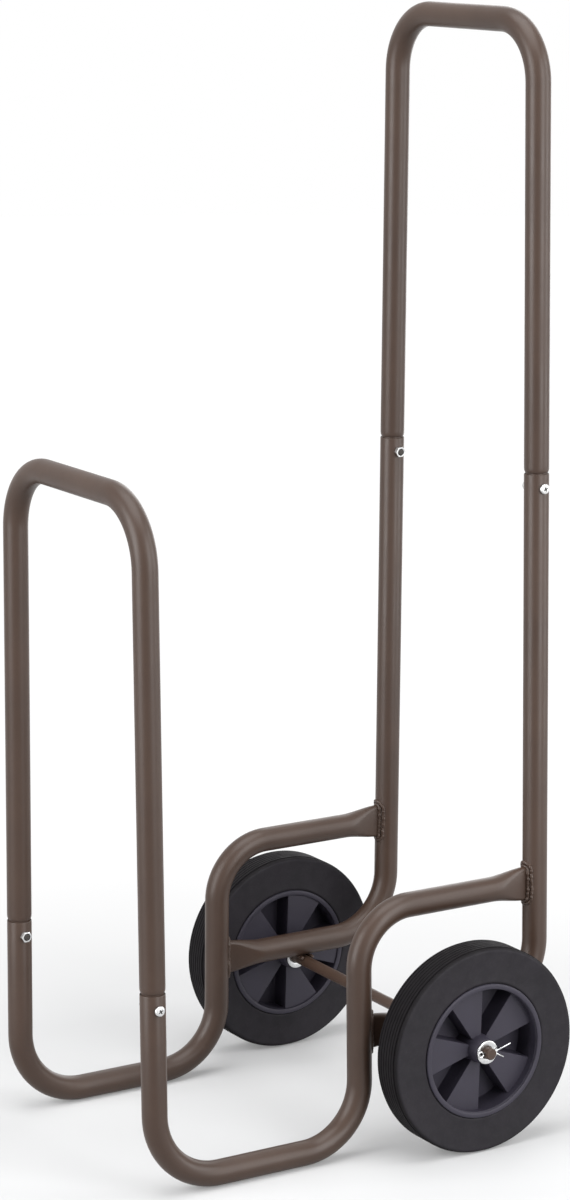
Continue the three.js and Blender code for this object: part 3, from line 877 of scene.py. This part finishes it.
cores = []
for k in range(panel_count):
    middle = panel_phase + 2 * math.pi / panel_count * k
    cores.append(wedge_core(f"back_core_{k}", front - panel_thickness, back, middle))
    middle += math.pi / panel_count
    cores.append(wedge_core(f"front_core_{k}", back + panel_thickness, front, middle))
bpy.ops.object.select_all(action="DESELECT")
for core in cores:
    core.select_set(True)
bpy.context.view_layer.objects.active = cores[0]
bpy.ops.object.join()
apply_tool(web, "BOOLEAN", operation="DIFFERENCE", object=cores[0], solver="EXACT")
bpy.data.objects.remove(cores[0])
rim = web
rim.name = "right_wheel_rim"
for part in (barrel, hub):
    apply_tool(rim, "BOOLEAN", operation="UNION", object=part, solver="MANIFOLD")
    bpy.data.objects.remove(part)
settle(rim, wheel_place)
other_rim = mirror_copy(rim, "left_wheel_rim")
fit(rim, "right_wheel", "rim_plastic", moulded_plastic, "right_rim", smooth=32)
fit(other_rim, "left_wheel", "rim_plastic", moulded_plastic, "left_rim", smooth=32)


# Tyres
# Each tyre is a solid ring of moulded black rubber, stretched over the rim. Seven fine grooves run
# round the tread, which is painted darker than the sides as painted shade, and short notches cut the two
# shoulders.
tyre_radius = 0.105
notch_count = 132
notch_depth = 0.0006
groove_depth = 0.0011
tyre_sides = notch_count * 2

tread_rubber, tree, surface = new_finish("tread_rubber")
place = add_node(tree, "TexCoord", {}).outputs["Object"]
cloud = ranged(tree, grain(tree, place, 26, 5, 0.62), 0.3, 0.7)
dust = ranged(tree, grain(tree, place, 320, 5, 0.7), 0.5, 0.75)
body_shade = mixed(tree, cloud, shade_of(26, 24, 28), shade_of(32, 29, 34))
body_shade = mixed(tree, sums(tree, "MULTIPLY", dust, 0.25), body_shade, shade_of(50, 46, 52))
from_axle = add_node(tree, "VectorMath", {}, operation="SUBTRACT")
tree.links.new(place, from_axle.inputs[0])
from_axle.inputs[1].default_value = (0, axle_y, axle_z)
across = add_node(tree, "VectorMath", {}, operation="MULTIPLY")
tree.links.new(from_axle.outputs["Vector"], across.inputs[0])
across.inputs[1].default_value = (0, 1, 1)
reach = add_node(tree, "VectorMath", {}, operation="LENGTH")
tree.links.new(across.outputs["Vector"], reach.inputs[0])
on_tread = ranged(tree, reach.outputs["Value"], 0.1022, 0.1040)
# The tread's darker colour is painted shade. Its lower shine is the rubber's own.
tread_painted_shade = mixed(tree, cloud, shade_of(19, 17, 19), shade_of(24, 22, 24))
body_shade = mixed(tree, on_tread, body_shade, tread_painted_shade)
tree.links.new(body_shade, surface.inputs["Base Color"])
tree.links.new(ranged(tree, grain(tree, place, 90, 4), 0.3, 0.7, 0.6, 0.75), surface.inputs["Roughness"])
tree.links.new(ranged(tree, on_tread, 0, 1, 0.22, 0.1), surface.inputs["Specular IOR Level"])
bumped(tree, surface, grain(tree, place, 1100, 3), 0.25, 0.0002)

bead_radius = flange_radius + touch
seat_half = rim_half_width - flange_thickness - touch
side = [
    (seat_half, seat_radius + touch),
    (seat_half, bead_radius + 0.0003),
    (seat_half + 0.0006, bead_radius + 0.0006),
    (0.0166, bead_radius + 0.0006),
    (0.0170, 0.0700),
    (0.0172, 0.0710),
    (0.0170, 0.0722),
    (0.0171, 0.0800),
    (0.0174, 0.0900),
    (0.0177, 0.0970),
    (0.0179, 0.1000),
    (0.0180, 0.1012),
    (0.0178, 0.1024),
    (0.0172, 0.1035),
    (0.0162, 0.1044),
    (0.0150, 0.1049),
    (0.0138, 0.1050),
]
groove_side = [
    (0.0008, tyre_radius),
    (0.0005, tyre_radius - 0.0003),
    (0.0003, tyre_radius - groove_depth),
]
for groove_at in (0.0128, 0.0086, 0.0044):
    side += [(groove_at + reach, radius) for reach, radius in groove_side]
    side += [(groove_at - reach, radius) for reach, radius in reversed(groove_side)]
side += groove_side
tyre_outline = side + [(-along, radius) for along, radius in reversed(side)]
tyre = turn_piece("right_wheel_tyre", tyre_outline + [tyre_outline[0]], tyre_sides, closed=True)
bpy.ops.object.mode_set(mode="EDIT")
bpy.ops.mesh.select_mode(type="FACE")


def in_notch(spot, normal):
    step = round((math.atan2(spot.z, spot.y) / (2 * math.pi) * tyre_sides) - 0.5)
    return 0.0137 < abs(spot.x) < 0.0168 and spot.yz.length > 0.1030 and step % 2 == 0


pick_faces(tyre, in_notch)
bpy.ops.mesh.extrude_region_shrink_fatten(TRANSFORM_OT_shrink_fatten={"value": -notch_depth})
bpy.ops.mesh.select_mode(type="VERT")
face_out()
settle(tyre, wheel_place)
other_tyre = mirror_copy(tyre, "left_wheel_tyre")
fit(tyre, "right_wheel", "tyre_rubber", tread_rubber, "right_tyre", smooth=32)
fit(other_tyre, "left_wheel", "tyre_rubber", tread_rubber, "left_tyre", smooth=32)


# Washers
# Flat steel washers either side of each hub, stamped out, so one edge is rounded and the other
# keeps a small burr.
for kind, washer_x in (("inner", inner_washer_x), ("outer", outer_washer_x)):
    bore_at = axle_radius + touch
    outline = [
        (0.0002, bore_at),
        (0, bore_at + 0.0003),
        (0, washer_radius - 0.0002),
        (0.0001, washer_radius),
        (0.0012, washer_radius),
        (0.0016, washer_radius - 0.0001),
        (0.0019, washer_radius - 0.0004),
        (0.002, washer_radius - 0.0009),
        (0.002, bore_at + 0.0006),
        (0.0018, bore_at + 0.0002),
        (0.0014, bore_at),
    ]
    washer = turn_piece(f"right_washer_{kind}", outline + [outline[0]], 48, closed=True)
    settle(washer, Matrix.Translation((washer_x, axle_y, axle_z)))
    other_washer = mirror_copy(washer, f"left_washer_{kind}")
    fit(washer, "frame", "zinc", zinc_plate, f"right_{kind}_washer")
    fit(other_washer, "frame", "zinc", zinc_plate, f"left_{kind}_washer")


# Split pins
# One wire each, folded round an eye at the front and pushed through the axle. The two legs are
# spread behind it, the upper one longer.
leg_offset = pin_wire_radius + touch / 2
eye_radius = 0.0029
mouth_bend = 0.0012
long_leg, long_spread = 0.0186, math.radians(16)
short_leg, short_spread = 0.0114, math.radians(30)
split_at = axle_radius + 0.0015
leg_bend = 0.003
mouth_turn = math.acos((leg_offset + mouth_bend) / (eye_radius + mouth_bend))
heading = Vector((0, -math.cos(long_spread), -math.sin(long_spread)))
tip = Vector((0, split_at, leg_offset)) - heading * long_leg
pin = start_ring("right_pin", tip, heading, pin_wire_radius * 0.7, 14)
bender = Bender(tip, heading, (1, 0, 0))
bender.draw([(0.0003, 1 / 0.7)])
bender.feed(long_leg - 0.0003 - leg_bend * math.tan(long_spread / 2))
bender.bend(-long_spread, leg_bend, math.radians(4))
eye_mouth = axle_radius + 0.0006
bender.feed(bender.centre.y + eye_mouth)
bender.bend(-mouth_turn, mouth_bend, math.radians(10))
bender.bend(math.pi + 2 * mouth_turn, eye_radius, math.radians(10))
bender.bend(-mouth_turn, mouth_bend, math.radians(10))
bender.feed(split_at - leg_bend * math.tan(short_spread / 2) - bender.centre.y)
bender.bend(-short_spread, leg_bend, math.radians(4))
bender.feed(short_leg - 0.0003 - leg_bend * math.tan(short_spread / 2))
bender.draw([(0.0003, 0.7)])
bpy.ops.mesh.edge_face_add()
tip_now = tip.copy()
pick_points(pin, lambda p: (p - tip_now).length < pin_wire_radius * 0.75)
bpy.ops.mesh.edge_face_add()
face_out()
settle(pin, Matrix.Translation((pin_x, axle_y, axle_z)))
other_pin = mirror_copy(pin, "left_pin")
fit(pin, "frame", "zinc", zinc_plate, "right_split_pin", smooth=60)
fit(other_pin, "frame", "zinc", zinc_plate, "left_split_pin", smooth=60)


# Floor
# A pale sheet under the cart. It is white to the camera where nothing shades it, and keeps the
# soft shadow of the tubes and wheels.
floor_radius = 9
floor_drop = 0.0002
near_end, far_start = 0.35, 1.0
shadow_glow = 0.16


def seen_straight(tree):
    """1 for what the camera, a shine or a glass looks at, and 0 for plain light on the cart."""
    rays = add_node(tree, "LightPath", {})
    seen = sums(tree, "MAXIMUM", rays.outputs["Is Camera Ray"], rays.outputs["Is Glossy Ray"])
    return sums(tree, "MAXIMUM", seen, rays.outputs["Is Transmission Ray"])


bpy.ops.object.select_all(action="DESELECT")
bpy.ops.mesh.primitive_circle_add(
    vertices=96, radius=floor_radius, fill_type="NGON", location=(0, 0, -floor_drop)
)
floor = bpy.context.object
floor.name = "floor"
pale_sheet, tree, surface = new_finish("pale_sheet")
seen = seen_straight(tree)
place = add_node(tree, "TexCoord", {}).outputs["Object"]
away = add_node(tree, "VectorMath", {}, operation="LENGTH")
tree.links.new(place, away.inputs[0])
away = ranged(tree, away.outputs["Value"], near_end, far_start)
paper = ranged(tree, grain(tree, place, 3, 3), 0.3, 0.7)
near_shade = mixed(tree, paper, (0.49, 0.493, 0.497, 1), (0.51, 0.513, 0.517, 1))
tree.links.new(mixed(tree, away, near_shade, (0.02, 0.02, 0.02, 1)), surface.inputs["Base Color"])
surface.inputs["Roughness"].default_value = 0.9
surface.inputs["Specular IOR Level"].default_value = 0.1
surface.inputs["Emission Color"].default_value = (1, 1, 1, 1)
glow = ranged(tree, away, 0, 1, shadow_glow, 1.0)
tree.links.new(sums(tree, "MULTIPLY", seen, glow), surface.inputs["Emission Strength"])
floor.data.materials.append(pale_sheet)


# Studio light
# Tall soft boxes to the left and right of the camera, at the side and behind, and one above, in an
# even pale room. The zinc's flat faces mirror the gap between the two right boxes, so they stay
# below white.
camera_side = 58.6
room_light = 0.2


def soft_box(name, azimuth, elevation, distance, width, height, power):
    box_data = bpy.data.lights.new(name, "AREA")
    box_data.shape = "RECTANGLE"
    box_data.size = width
    box_data.size_y = height
    box_data.energy = power
    box = bpy.data.objects.new(name, box_data)
    across, up = math.radians(azimuth), math.radians(elevation)
    aim_point = Vector((0, 0, 0.5))
    away = Vector((math.sin(across) * math.cos(up), -math.cos(across) * math.cos(up), math.sin(up)))
    box.location = aim_point + away * distance
    box.rotation_euler = away.to_track_quat("Z", "Y").to_euler()
    bpy.context.collection.objects.link(box)


soft_box("left_box", camera_side - 57, 14, 2.6, 1.6, 2.4, 84)
soft_box("right_box", camera_side + 44, 14, 2.6, 1.2, 2.4, 54)
soft_box("side_box", camera_side + 86, 14, 2.6, 1.0, 2.4, 34)
soft_box("back_box", camera_side + 160, 14, 2.6, 1.8, 2.4, 26)
soft_box("top_box", camera_side + 10, 82, 2.4, 2.2, 2.2, 58)

room = bpy.data.worlds.new("room")
bpy.context.scene.world = room
room.use_nodes = True
tree = room.node_tree
seen = seen_straight(tree)
strength = sums(tree, "MAXIMUM", seen, room_light)
tree.nodes["Background"].inputs["Color"].default_value = (1, 1, 1, 1)
tree.links.new(strength, tree.nodes["Background"].inputs["Strength"])

bpy.context.scene.view_settings.view_transform = "Standard"
